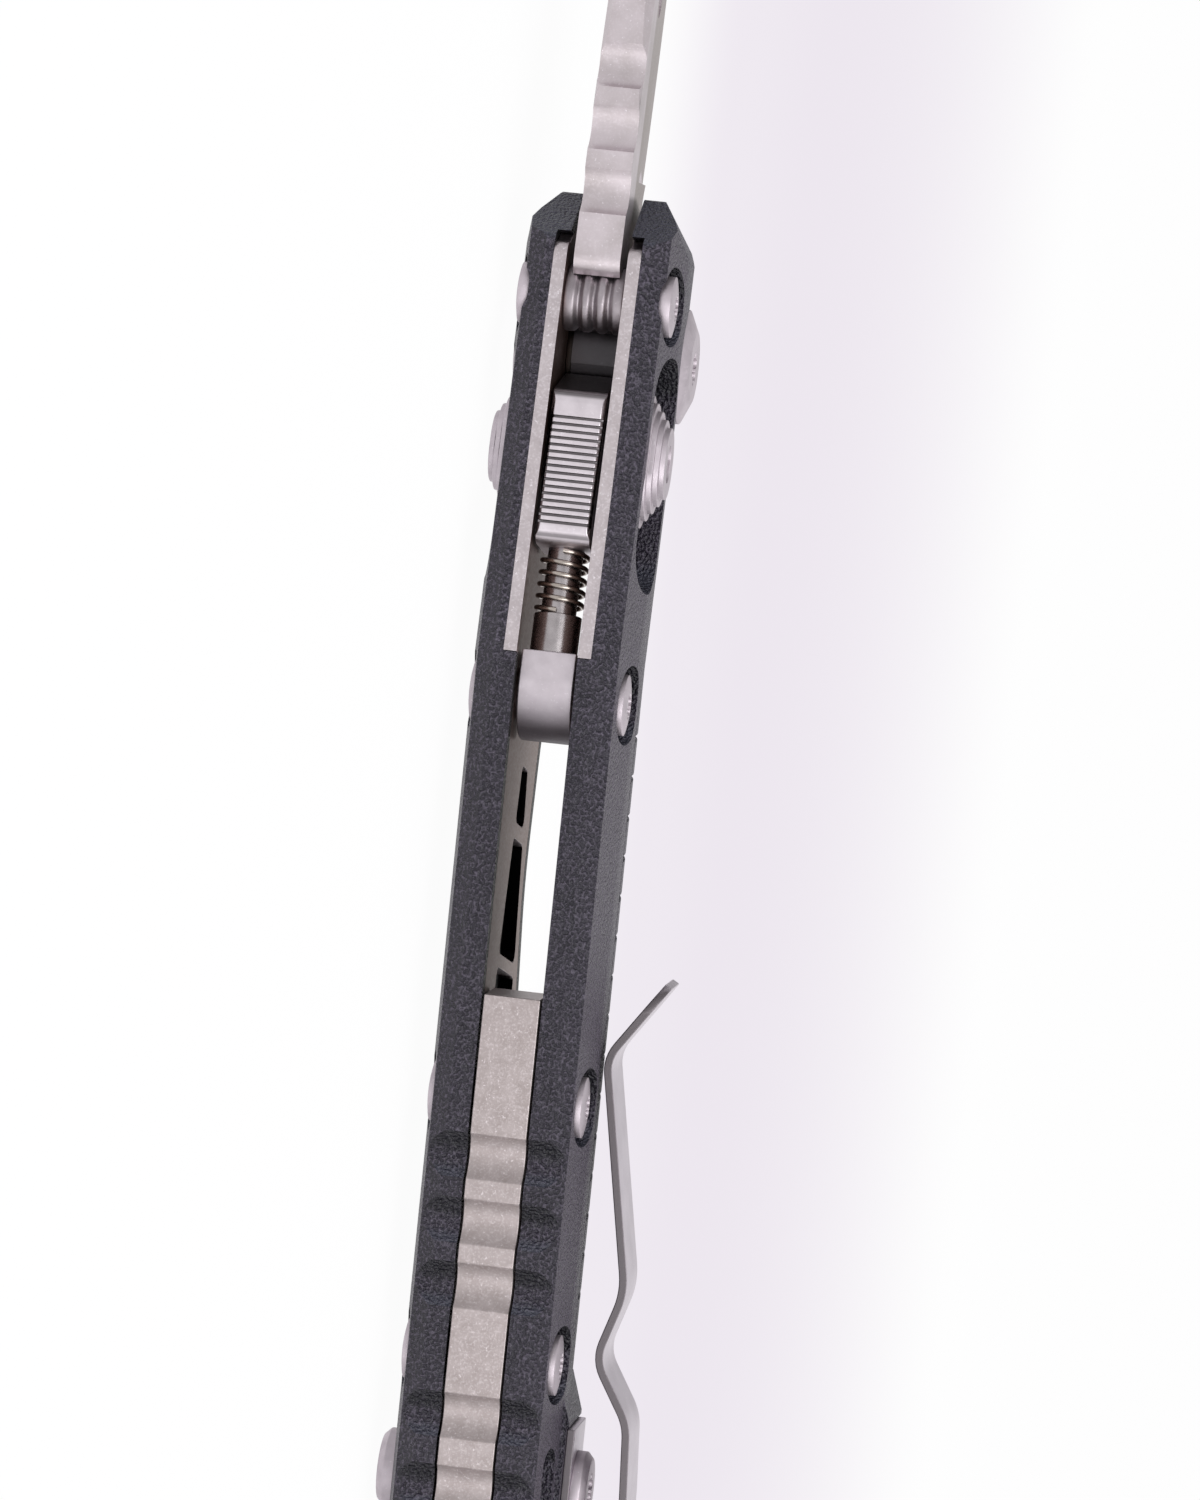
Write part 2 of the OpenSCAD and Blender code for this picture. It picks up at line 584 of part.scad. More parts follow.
button_steps = 6;
button_crown = 6.5;     // length of the outermost step
button_narrows = 0.35;  // by how much each step is narrower
module button(s) on_side(s) at(button_at) difference() {
    union() {
        translate([0, 0, half_slider])
            obround(neck[0], neck[1], inner + pocket_floor + 0.5 - half_slider);
        for (k = [0:button_steps - 1]) {
            low = pocket_floor + face_gap;
            rise = (button_rise - low) / button_steps;
            translate([0, 0, inner + low + k * rise])
                obround(button_length - k * (button_length - button_crown) / (button_steps - 1),
                        button_height - button_narrows * k, rise + (k < button_steps - 1 ? 0.01 : 0));
        }
    }
    translate([0, 0, inner + button_rise - 1.2]) obround(3.4, 2.4, 3);
    translate([0, 0, half_slider - cut]) cylinder(r = button_screw_radius + run_gap, h = 20);
}
module left_button() color("#c8bec3") place() button(-1);
module right_button() color("#c8bec3") place() button(1);
module button_screws() color("#969196") place() for (s = [-1, 1]) on_side(s) at(button_at) {
    translate([0, 0, 0.2]) cylinder(r = button_screw_radius, h = inner + button_rise - 1.4);
    translate([0, 0, inner + button_rise - 1.2]) cylinder(r = 1.1, h = 0.6);
}

// Compression spring round the rod: one unbroken wire from the slider to the collar
collar_front = 25.4;
rings_per_turn = 8;
wire_sides = 6;
spring_radius = (rod_radius + run_gap + wire / 2) / cos(180 / rings_per_turn);
spring_from = -slider_back - seat_gap - wire / 2;
spring_to = -collar_front + seat_gap + wire / 2;
function spring_point(k) = let (a = k * 360 / rings_per_turn,
    share = k / (spring_turns * rings_per_turn))
    [spring_from + (spring_to - spring_from) * share, spring_radius * cos(a), spring_radius * sin(a)];
function wire_ring(k) = let (a = k * 360 / rings_per_turn) [
    for (j = [0:wire_sides - 1]) let (b = j * 360 / wire_sides,
        r = wire / 2 * cos(b), x = wire / 2 * sin(b))
    spring_point(k) + [x, r * cos(a), r * sin(a)]];
spring_rings = [for (k = [0:spring_turns * rings_per_turn]) wire_ring(k)];
spring_points = [for (k = [0:spring_turns * rings_per_turn]) spring_point(k)];
spring_gap = min([for (i = [0:len(spring_points) - 1])
    for (j = [i + rings_per_turn - 2:1:len(spring_points) - 1])
        norm(spring_points[i] - spring_points[j]) - wire]);
echo(least_gap_of_spring_to_itself = spring_gap);
echo(box_middle = middle(), bolt_place = rear(bolt));
module lock_spring() color("#5b5350") place() translate([0, rod_up, 0]) loft(spring_rings);

rod_end = 17;
module guide_rod() color("#6e6763") place() translate([0, rod_up, 0]) rotate([0, -90, 0]) {
    translate([0, 0, rod_end]) cylinder(r = rod_radius, h = collar_front - rod_end + 0.5);
    translate([0, 0, collar_front]) cylinder(r = 2.15, h = block_front - collar_front);
    translate([0, 0, block_front - 0.5]) cylinder(r = tenon_radius, h = tenon_length + 0.5);
}
block_front = 29;
block_top = spine_height - 1.5;
block_bottom = slider_step_up;
tenon_radius = 1.4;
tenon_length = 2.2;
boss_radius = screw_radius + 1.2;
module spring_block() color("#969196") place() difference() {
    union() {
        translate([0, 0, -half_slider]) linear_extrude(slider_width)
            polygon(concat([[-block_front, block_top], [-block_front, block_bottom],
                            [-block_front - block_length, block_bottom]],
                corner([-block_front - block_length, block_bottom],
                       [-block_front - block_length, block_top, block_round],
                       [-block_front, block_top], 0, 8)));
        at(rear(block_screw), -inner) cylinder(r = boss_radius, h = 2 * inner);
    }
    at(rear(block_screw), -inner - cut) cylinder(r = screw_radius + face_gap, h = 2 * (inner + cut));
    translate([-block_front + cut, rod_up, 0]) rotate([0, -90, 0])
        cylinder(r = tenon_radius + run_gap, h = tenon_length + face_gap + cut);
}

// ---- Backspacer ----

spacer_tail = -70.8;     // where it turns down round the butt, in the rear frame
module backspacer() color("#c8bec3") place() difference() {
    union() {
        intersection() {
            in_rear() translate([0, 0, -spacer_width / 2]) linear_extrude(spacer_width) {
                translate([-120, -spacer_depth]) square([120 - spacer_back, spacer_depth]);
                polygon([[spacer_tail, -spacer_depth + 1], [spacer_tail - 1.4, -15.6],
                         [-120, -17.5], [-120, -spacer_depth + 1]]);
            }
            translate([0, 0, -10]) linear_extrude(20) polygon(rounded(handle_corners));
        }
        for (p = spacer_screws) at(rear(p), -inner) cylinder(r = 1.35 + screw_radius, h = 2 * inner);
        at(rear(bolt), -inner) cylinder(r = bolt_radius + 1.6, h = 2 * inner);
    }
    spine_scallops();
    for (p = spacer_screws)
        at(rear(p), -inner - cut) cylinder(r = screw_radius + face_gap, h = 2 * (inner + cut));
    at(rear(bolt), -inner - cut) cylinder(r = bolt_radius + face_gap, h = 2 * (inner + cut));
}

// ---- Clip and rear bolt ----

module pocket_clip() color("#d7d0d7") place() difference() {
    intersection() {
        in_rear() translate([0, -clip_near, inner]) rotate([90, 0, 0]) linear_extrude(clip_width)
            polygon(strip(clip_line, clip_thickness));
        in_rear() at([-68.6, -clip_near - clip_width / 2], 0) obround(81, clip_width, 40);
    }
    at(rear(bolt), 0) cylinder(r = bolt_radius + face_gap, h = inner + clip_foot_seat + 2);
}
bolt_seat = clip_foot_seat + clip_thickness;
module clip_bolt() color("#c8bec3") place() at(rear(bolt)) {
    cylinder(r = bolt_radius, h = inner + bolt_seat + 0.3);
    translate([0, 0, inner + bolt_seat]) difference() {
        union() {
            cylinder(r = bolt_head_radius, h = 0.9);
            translate([0, 0, 0.9]) cylinder(r1 = bolt_head_radius, r2 = bolt_head_radius - 0.6, h = 0.55);
        }
        translate([0, 0, 0.6]) star_recess(1.7, 2);
    }
}
module clip_nut() color("#c8bec3") place() on_side(-1) at(rear(bolt)) {
    translate([0, 0, face_gap]) cylinder(r = bolt_radius, h = inner + bolt_nut_seat + 0.2);
    translate([0, 0, inner + bolt_nut_seat]) difference() {
        union() {
            cylinder(r = bolt_head_radius, h = bolt_nut_rise - 0.6);
            translate([0, 0, bolt_nut_rise - 0.6])
                cylinder(r1 = bolt_head_radius, r2 = bolt_head_radius - 0.6, h = 0.6);
        }
        translate([0, 0, bolt_nut_rise - 0.9]) star_recess(1.7, 2);
    }
}

left_scale();
right_scale();
left_liner();
right_liner();
blade();
left_washer();
right_washer();
pivot_barrel();
pivot_screw();
pivot_nut();
stop_pin();
stop_pin_screws();
lock_slider();
left_button();
right_button();
button_screws();
lock_spring();
guide_rod();
spring_block();
block_screws();
backspacer();
backspacer_screws();
pocket_clip();
clip_bolt();
clip_nut();
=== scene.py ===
# Folding knife with a sliding spine lock, lying on its left side in a pale studio.
# Every length is in metres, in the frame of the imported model.
import math

import bmesh
import bpy
from mathutils import Matrix, Vector


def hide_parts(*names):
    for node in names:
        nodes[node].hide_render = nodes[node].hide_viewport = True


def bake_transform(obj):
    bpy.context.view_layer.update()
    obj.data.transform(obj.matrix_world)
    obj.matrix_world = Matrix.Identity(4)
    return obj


mm = 0.001
middle = 9.15 * mm  # height of the knife's own middle plane

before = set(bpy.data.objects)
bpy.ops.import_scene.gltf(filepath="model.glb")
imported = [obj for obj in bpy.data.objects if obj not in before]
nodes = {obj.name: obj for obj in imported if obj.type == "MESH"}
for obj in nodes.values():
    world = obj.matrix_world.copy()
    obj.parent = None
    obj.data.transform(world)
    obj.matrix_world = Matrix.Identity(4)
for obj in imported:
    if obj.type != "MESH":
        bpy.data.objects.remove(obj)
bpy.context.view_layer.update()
scene = bpy.context.scene
scene.view_settings.view_transform = "Standard"
print("frame:", len(nodes), "nodes")


def linear(code):
    parts = [int(code[i:i + 2], 16) / 255 for i in (1, 3, 5)]
    flat = [c / 12.92 if c <= 0.04045 else ((c + 0.055) / 1.055) ** 2.4 for c in parts]
    return (*flat, 1.0)


def addNode(tree, kind, values=None, links=None, **settings):
    node = tree.nodes.new(kind)
    for name, value in settings.items():
        setattr(node, name, value)
    for name, value in (values or {}).items():
        node.inputs[name].default_value = value
    for name, source in (links or {}).items():
        tree.links.new(source, node.inputs[name])
    return node


def newMaterial(name):
    material = bpy.data.materials.new(name)
    material.use_nodes = True
    tree = material.node_tree
    tree.nodes.clear()
    return material, tree


# A tone lies on the faces that look one way, or past a line across the piece.
# "mirrored" makes it the same on both sides of the middle plane, and "within" keeps it
# to where the place along an axis has passed from the first number to the second.
def addTone(tree, tone, below):
    source = addNode(tree, "ShaderNodeTexCoord").outputs
    measure = addNode(tree, "ShaderNodeVectorMath", {1: tone["axis"]}, {0: source[tone["by"]]},
                      operation="DOT_PRODUCT").outputs["Value"]
    if tone.get("mirrored"):
        place = addNode(tree, "ShaderNodeSeparateXYZ", links={"Vector": source["Object"]})
        above = addNode(tree, "ShaderNodeMath", {1: middle}, {0: place.outputs["Z"]}, operation="SUBTRACT")
        side = addNode(tree, "ShaderNodeMath", links={0: above.outputs["Value"]}, operation="SIGN")
        measure = addNode(tree, "ShaderNodeMath", links={0: measure, 1: side.outputs["Value"]},
                          operation="MULTIPLY").outputs["Value"]
    mask = addNode(tree, "ShaderNodeMapRange",
                   {"From Min": tone["from"], "From Max": tone["to"], "To Max": tone["share"]}, {"Value": measure})
    for axis, start, end in tone.get("within", ()):
        place = addNode(tree, "ShaderNodeSeparateXYZ", links={"Vector": source["Object"]})
        there = addNode(tree, "ShaderNodeMapRange", {"From Min": start, "From Max": end},
                        {"Value": place.outputs[axis]})
        mask = addNode(tree, "ShaderNodeMath", links={0: mask.outputs[0], 1: there.outputs["Result"]},
                       operation="MULTIPLY")
    return addNode(tree, "ShaderNodeMix", {"B": linear(tone["colour"])},
                   {"Factor": mask.outputs[0], "A": below.outputs["Result"]}, data_type="RGBA")


# What all finishes have in common.
finishing = {
    "cloudDetail": 3.0,
    "cloudSpan": (0.3, 0.7),   # part of the noise over which the dark tone turns to the light one
    "grainRoughness": 0.6,
    "grainSpan": (0.3, 0.7),   # and the roughness wanders
    "markDetail": 2.0,
    "markSoftness": 0.06,
    "crestFrom": 0.5,          # the grain is paler from here up
    "crestTo": 0.72,
    "paintedShade": "#2f2b2a",         # painted shade: darkening laid in grooves and corners, where light is blocked
    "paintedShadeSpan": (0.75, 0.3),   # openness at which it starts and is full
    "paintedShadeRays": 8,
}


# One finish is a base colour with cloudy tone, fine marks, a roughness that wanders and a bump.
def makeFinish(look):
    material, tree = newMaterial(look["name"])
    place = addNode(tree, "ShaderNodeTexCoord").outputs["Object"]
    cloud = addNode(tree, "ShaderNodeTexNoise", {"Scale": 1 / look["cloud"], "Detail": finishing["cloudDetail"]},
                    {"Vector": place})
    grain = addNode(tree, "ShaderNodeTexNoise", {"Scale": 1 / look["grain"], "Detail": look["grainDetail"],
                    "Roughness": finishing["grainRoughness"]}, {"Vector": place})
    marks = addNode(tree, "ShaderNodeTexNoise", {"Scale": 1 / look["mark"], "Detail": finishing["markDetail"]},
                    {"Vector": place})

    base = addNode(tree, "ShaderNodeValToRGB", links={"Fac": cloud.outputs["Fac"]})
    tones = (look["dark"], look["light"])
    for element, spot, tone in zip(base.color_ramp.elements, finishing["cloudSpan"], tones):
        element.position = spot
        element.color = linear(tone)

    spots = addNode(tree, "ShaderNodeMapRange", {"From Min": look["markFrom"],
                    "From Max": look["markFrom"] + finishing["markSoftness"]}, {"Value": marks.outputs["Fac"]})
    share = addNode(tree, "ShaderNodeMath", {1: look["markShare"]}, {0: spots.outputs["Result"]},
                    operation="MULTIPLY")
    crests = addNode(tree, "ShaderNodeMapRange", {"From Min": look.get("crestFrom", finishing["crestFrom"]),
                     "From Max": finishing["crestTo"], "To Max": look["crestShare"]},
                     {"Value": grain.outputs["Fac"]})
    share = addNode(tree, "ShaderNodeMath", links={0: share.outputs["Value"], 1: crests.outputs["Result"]},
                    operation="MAXIMUM")
    colour = addNode(tree, "ShaderNodeMix", {"B": linear(look["markColour"])},
                     {"Factor": share.outputs["Value"], "A": base.outputs["Color"]}, data_type="RGBA")
    for tone in look.get("tones", ()):
        colour = addTone(tree, tone, colour)
    # painted shade: ambient occlusion darkens the base colour in grooves and corners
    if "paintedShadeReach" in look:
        shelter = addNode(tree, "ShaderNodeAmbientOcclusion", {"Distance": look["paintedShadeReach"]},
                          samples=finishing["paintedShadeRays"], only_local=True)
        paintedShade = addNode(tree, "ShaderNodeMapRange", {"From Min": finishing["paintedShadeSpan"][0],
                       "From Max": finishing["paintedShadeSpan"][1], "To Max": look["paintedShadeShare"]},
                       {"Value": shelter.outputs["AO"]})
        colour = addNode(tree, "ShaderNodeMix", {"B": linear(finishing["paintedShade"])},
                         {"Factor": paintedShade.outputs["Result"], "A": colour.outputs["Result"]}, data_type="RGBA")

    rough = addNode(tree, "ShaderNodeMapRange",
                    {"From Min": finishing["grainSpan"][0], "From Max": finishing["grainSpan"][1],
                     "To Min": look["rough"][0], "To Max": look["rough"][1]}, {"Value": grain.outputs["Fac"]})
    height = addNode(tree, "ShaderNodeMath", {1: look["markRise"]},
                     {0: spots.outputs["Result"], 2: grain.outputs["Fac"]}, operation="MULTIPLY_ADD")
    bump = addNode(tree, "ShaderNodeBump", {"Strength": look["bump"], "Distance": look["bumpDepth"]},
                   {"Height": height.outputs["Value"]})
    shader = addNode(tree, "ShaderNodeBsdfPrincipled", {"Metallic": look["metallic"]},
                     {"Base Color": colour.outputs["Result"], "Roughness": rough.outputs["Result"],
                      "Normal": bump.outputs["Normal"]})
    if "ior" in look:
        shader.inputs["IOR"].default_value = look["ior"]
    addNode(tree, "ShaderNodeOutputMaterial", links={"Surface": shader.outputs["BSDF"]})
    return material


# How the carried-over solids are smoothed. Angles are in degrees.
smoothing = {
    "weld": 0.0002 * mm,
    "flat": 0.3,     # faces closer to one plane than this become one
    "segments": 2,
    "sharp": 28,     # edges turned more than this get a round
    "crease": 35,    # and more than this stay crisp in the shading
}


# The nodes keep their solids: the edges get the small rounds that tumbling or moulding leaves.
def dress(plan):
    for name in plan["pieces"]:
        piece = nodes[name]
        piece.data.materials.clear()
        piece.data.materials.append(plan["finish"])
        weld = piece.modifiers.new("weld", "WELD")
        weld.merge_threshold = smoothing["weld"]
        flat = piece.modifiers.new("flat", "DECIMATE")
        flat.decimate_type = "DISSOLVE"
        flat.angle_limit = math.radians(smoothing["flat"])
        rounds = piece.modifiers.new("edges", "BEVEL")
        rounds.width = plan["edge"]
        rounds.segments = smoothing["segments"]
        rounds.limit_method = "ANGLE"
        rounds.angle_limit = math.radians(smoothing["sharp"])
        normals = piece.modifiers.new("normals", "WEIGHTED_NORMAL")
        normals.keep_sharp = True
        piece.data.shade_smooth()
        piece.data.set_sharp_from_angle(angle=math.radians(smoothing["crease"]))
    print("dressed:", ", ".join(plan["pieces"]))


cameraPlan = {
    "spot": Vector((-92.64, 605.56, 88.96)) * mm,
    "back": Vector((-0.10730, 0.98638, 0.12466)),
    "up": Vector((0.98652, 0.12121, -0.10993)),
    "lens": 160.8,
    "sensor": 36.0,
    "near": 0.02,
    "far": 60.0,
}


def makeCamera(plan):
    data = bpy.data.cameras.new("camera")
    camera = bpy.data.objects.new("camera", data)
    scene.collection.objects.link(camera)
    data.lens = plan["lens"]
    data.sensor_width = plan["sensor"]
    data.clip_start, data.clip_end = plan["near"], plan["far"]
    back = plan["back"].normalized()
    right = plan["up"].cross(back).normalized()
    up = back.cross(right)
    turn = Matrix((right, up, back)).transposed().to_4x4()
    camera.matrix_world = Matrix.Translation(plan["spot"]) @ turn
    scene.camera = camera


makeCamera(cameraPlan)
print("camera set")

studio = {
    "sky": "#ffffff",
    "skyRange": (0.32, 1.0),               # how strong the room is, from its dark end to its bright end
    "skyTowards": (-0.97, 0.05, 0.25),     # where its bright end is
    "skySpan": (-0.75, 0.25),              # and over how much of the turn it changes
    "floor": "#f4f1f6",
    "floorSize": 30.0,
    "floorBelow": 0.05 * mm,
    "floorGlow": 0.96,                     # share of the floor that shows as plain paper
    "floorShade": "#ede7ef",               # painted shadow: soft shade painted on the paper behind the knife
    "floorTones": ((-0.80, 0), (-0.24, 1), (-0.15, 0.9), (-0.06, 0)),  # place along Y and share of that shade
    "lamps": (
        # name, spot, target, width, height, watts
        ("key", (-0.28, 0.75, 0.50), (-0.02, 0, 0.01), 0.6, 0.5, 3.2),
        ("fill", (-0.55, 0.60, 0.12), (-0.05, 0, 0.01), 0.4, 0.4, 0.9),
        ("front", (0.60, 0.45, 0.30), (0.02, 0, 0.01), 0.4, 0.4, 0.4),
    ),
}


# 1 on the rays of the given kinds, 0 on the others.
def seenBy(tree, kinds):
    path = addNode(tree, "ShaderNodeLightPath")
    seen = path.outputs[kinds[0]]
    for kind in kinds[1:]:
        seen = addNode(tree, "ShaderNodeMath", links={0: seen, 1: path.outputs[kind]},
                       operation="MAXIMUM").outputs["Value"]
    return seen


def makeRoom(plan):
    world = bpy.data.worlds.new("studio")
    scene.world = world
    world.use_nodes = True
    tree = world.node_tree
    tree.nodes.clear()
    seen = seenBy(tree, ("Is Camera Ray", "Is Transmission Ray"))
    way = addNode(tree, "ShaderNodeTexCoord").outputs["Generated"]
    facing = addNode(tree, "ShaderNodeVectorMath", {1: Vector(plan["skyTowards"]).normalized()}, {0: way},
                     operation="DOT_PRODUCT")
    strength = addNode(tree, "ShaderNodeMapRange",
                       {"From Min": plan["skySpan"][0], "From Max": plan["skySpan"][1],
                        "To Min": plan["skyRange"][0], "To Max": plan["skyRange"][1]},
                       {"Value": facing.outputs["Value"]}, interpolation_type="SMOOTHSTEP")
    room = addNode(tree, "ShaderNodeBackground", {"Color": linear(plan["sky"])},
                   {"Strength": strength.outputs["Result"]})
    wall = addNode(tree, "ShaderNodeBackground", {"Color": (1, 1, 1, 1), "Strength": 1.0})
    both = addNode(tree, "ShaderNodeMixShader",
                   links={0: seen, 1: room.outputs["Background"], 2: wall.outputs["Background"]})
    addNode(tree, "ShaderNodeOutputWorld", links={"Surface": both.outputs["Shader"]})


# Matt white paper: it takes the knife's shadow, carries a painted shadow behind the knife, and shows nearly plain
# to the eye and in the steel.
def makePaper(plan):
    material, tree = newMaterial("whitePaper")
    seen = seenBy(tree, ("Is Camera Ray", "Is Transmission Ray", "Is Glossy Ray"))
    glow = addNode(tree, "ShaderNodeMath", {1: plan["floorGlow"]}, {0: seen}, operation="MULTIPLY")
    matte = addNode(tree, "ShaderNodeBsdfDiffuse", {"Color": linear(plan["floor"])})
    place = addNode(tree, "ShaderNodeTexCoord").outputs["Object"]
    place = addNode(tree, "ShaderNodeSeparateXYZ", links={"Vector": place})
    tones = plan["floorTones"]
    first, last = tones[0][0], tones[-1][0]
    along = addNode(tree, "ShaderNodeMapRange", {"From Min": first, "From Max": last},
                    {"Value": place.outputs["Y"]})
    shade = addNode(tree, "ShaderNodeValToRGB", links={"Fac": along.outputs["Result"]})
    ramp = shade.color_ramp
    ramp.interpolation = "EASE"
    while len(ramp.elements) < len(tones):
        ramp.elements.new(0.5)
    for element, (spot, share) in zip(ramp.elements, tones):
        element.position = (spot - first) / (last - first)
        element.color = Vector((1, 1, 1, 1)).lerp(Vector(linear(plan["floorShade"])), share)
    paper = addNode(tree, "ShaderNodeEmission", {"Strength": 1.0}, {"Color": shade.outputs["Color"]})
    both = addNode(tree, "ShaderNodeMixShader",
                   links={0: glow.outputs["Value"], 1: matte.outputs["BSDF"], 2: paper.outputs["Emission"]})
    addNode(tree, "ShaderNodeOutputMaterial", links={"Surface": both.outputs["Shader"]})
    return material


def layFloor(plan, paper):
    half, height = plan["floorSize"] / 2, -plan["floorBelow"]
    corners = [(x, y, height) for x, y in ((-half, -half), (half, -half), (half, half), (-half, half))]
    mesh = bpy.data.meshes.new("floor")
    mesh.from_pydata(corners, [], [(0, 1, 2, 3)])
    mesh.materials.append(paper)
    floor = bpy.data.objects.new("floor", mesh)
    scene.collection.objects.link(floor)


def hangLamps(plan):
    for name, spot, target, width, height, watts in plan["lamps"]:
        light = bpy.data.lights.new(name, "AREA")
        light.shape = "RECTANGLE"
        light.size, light.size_y = width, height
        light.energy = watts
        lamp = bpy.data.objects.new(name, light)
        scene.collection.objects.link(lamp)
        lamp.location = spot
        lamp.rotation_mode = "QUATERNION"
        lamp.rotation_quaternion = (Vector(target) - Vector(spot)).to_track_quat("-Z", "Y")


makeRoom(studio)
layFloor(studio, makePaper(studio))
hangLamps(studio)
print("studio made")


# Glass-filled nylon, moulded in a spark-eroded tool: matte, dark and pebbled. The IOR is
# under nylon's usual 1.53, because the hollows between the pebbles hold back part of the gloss.
mouldedNylon = makeFinish({
    "name": "mouldedNylon", "dark": "#211e28", "light": "#2a2631", "cloud": 3.0 * mm,
    "grain": 0.28 * mm, "grainDetail": 0.7, "mark": 0.3 * mm, "markFrom": 0.62, "markShare": 0.12,
    "crestShare": 0.5, "crestFrom": 0.47, "markColour": "#6d6675", "markRise": 0.2,
    "rough": (0.34, 0.5), "bump": 1.0, "bumpDepth": 0.5 * mm, "metallic": 0.0, "ior": 1.44,
    "tones": (
        # painted highlight and painted shade: faces turned towards +X are paler and bluer, faces turned towards -X
        # near black
        {"by": "Normal", "axis": (1, 0, 0), "from": 0.12, "to": 0.45, "share": 0.55, "colour": "#454854"},
        {"by": "Normal", "axis": (-1, 0, 0), "from": 0.12, "to": 0.45, "share": 0.75, "colour": "#0d0e13"},
        # painted highlight: the side facets, turned sideways, are paler
        {"by": "Normal", "axis": (0, 0, 1), "mirrored": True, "from": 0.6, "to": 0.8, "share": 0.5,
         "colour": "#605965"},
        # painted shade: the inner faces, lying behind the liners, are near black
        {"by": "Normal", "axis": (0, 0, 1), "mirrored": True, "from": -0.8, "to": -0.95, "share": 1.0,
         "colour": "#08080a"},
    ),
})
scales = {"pieces": ("left_scale", "right_scale"), "finish": mouldedNylon, "edge": 0.2 * mm}
dress(scales)

# Stainless strip, stonewashed: soft grey with bright nicks. As on all the metals here,
# the real grain is too fine to show, so it is drawn coarser.
stonewashedSteel = makeFinish({
    "name": "stonewashedSteel", "dark": "#b4abae", "light": "#c2b9bc", "cloud": 1.2 * mm,
    "grain": 0.24 * mm, "grainDetail": 3.0, "mark": 0.35 * mm, "markFrom": 0.66, "markShare": 0.6,
    "crestShare": 0.35, "markColour": "#f0eaf0", "markRise": 0.4, "rough": (0.34, 0.5), "bump": 0.25,
    "bumpDepth": 0.03 * mm, "metallic": 1.0, "paintedShadeReach": 0.5 * mm, "paintedShadeShare": 0.75,
    "tones": (
        # painted shade: the inner faces, facing each other between the parts, are darker and warmer
        {"by": "Normal", "axis": (0, 0, 1), "mirrored": True, "from": -0.7, "to": -0.95, "share": 0.95,
         "colour": "#7a645d"},
        # painted shade: the walls of the windows are near black
        {"by": "Normal", "axis": (0, 1, 0), "from": 0.3, "to": 0.7, "share": 1.0, "colour": "#0a0a0b",
         "within": (("Y", 9.5 * mm, 9.0 * mm),)},
    ),
})
liners = {"pieces": ("left_liner", "right_liner"), "finish": stonewashedSteel, "edge": 0.12 * mm}
dress(liners)

# Cast stainless, tumbled: a little darker and warmer than the liners.
tumbledCastSteel = makeFinish({
    "name": "tumbledCastSteel", "dark": "#9f9594", "light": "#ada3a3", "cloud": 1.2 * mm,
    "grain": 0.22 * mm, "grainDetail": 2.0, "mark": 0.3 * mm, "markFrom": 0.66, "markShare": 0.6,
    "crestShare": 0.35, "markColour": "#d9d1d4", "markRise": 0.4, "rough": (0.36, 0.52), "bump": 0.3,
    "bumpDepth": 0.04 * mm, "metallic": 1.0, "paintedShadeReach": 0.5 * mm, "paintedShadeShare": 0.6,
})
backspacer = {"pieces": ("backspacer",), "finish": tumbledCastSteel, "edge": 0.35 * mm}
dress(backspacer)

# Tool steel, ground and stonewashed: satin grey with small bright nicks.
tumbledBladeSteel = makeFinish({
    "name": "tumbledBladeSteel", "dark": "#bab1b3", "light": "#d2c8cd", "cloud": 4.0 * mm,
    "grain": 0.25 * mm, "grainDetail": 3.0, "mark": 0.3 * mm, "markFrom": 0.66, "markShare": 0.5,
    "crestShare": 0.2, "markColour": "#f2ecf2", "markRise": 0.4, "rough": (0.3, 0.46), "bump": 0.2,
    "bumpDepth": 0.03 * mm, "metallic": 1.0, "paintedShadeReach": 0.5 * mm, "paintedShadeShare": 0.75,
    "tones": (
        # the ground faces under the flats are warmer than the flats
        {"by": "Normal", "axis": (0, 0, 1), "mirrored": True, "from": 0.6, "to": 0.9, "share": 0.8,
         "colour": "#928782", "within": (("Y", 15.8 * mm, 15.2 * mm),)},
        # painted shade: the tang, set down between the liners, is near black
        {"by": "Object", "axis": (1, 0, 0), "from": 10.4 * mm, "to": 9.4 * mm, "share": 0.95,
         "colour": "#38373a"},
    ),
})
blade = {"pieces": ("blade",), "finish": tumbledBladeSteel, "edge": 0.16 * mm}
dress(blade)

# Hardened steel, machined and tumbled: bright satin with soft edges.
machinedSteel = makeFinish({
    "name": "machinedSteel", "dark": "#cdc5cb", "light": "#dad2d8", "cloud": 1.6 * mm,
    "grain": 0.25 * mm, "grainDetail": 3.0, "mark": 0.3 * mm, "markFrom": 0.66, "markShare": 0.5,
    "crestShare": 0.12, "markColour": "#ece6ec", "markRise": 0.4, "rough": (0.3, 0.44), "bump": 0.2,
    "bumpDepth": 0.03 * mm, "metallic": 1.0, "paintedShadeReach": 0.5 * mm, "paintedShadeShare": 0.75,
    "tones": (
        # painted shade: faces turned towards +X, such as the front ramp, are darker
        {"by": "Normal", "axis": (1, 0, 0), "from": 0.3, "to": 0.85, "share": 0.8, "colour": "#4f4b4c"},
        # painted shade: the floors of the fine grooves are darker
        {"by": "Object", "axis": (0, 1, 0), "from": 19.56 * mm, "to": 19.46 * mm, "share": 0.7,
         "colour": "#5a5557",
         "within": (("Y", 19.2 * mm, 19.3 * mm), ("X", -10.5 * mm, -10.3 * mm), ("X", 5.2 * mm, 5.0 * mm))},
    ),
})
slider = {"pieces": ("lock_slider",), "finish": machinedSteel, "edge": 0.05 * mm}
barrel = {"pieces": ("pivot_barrel",), "finish": machinedSteel, "edge": 0.1 * mm}
dress(slider)
dress(barrel)

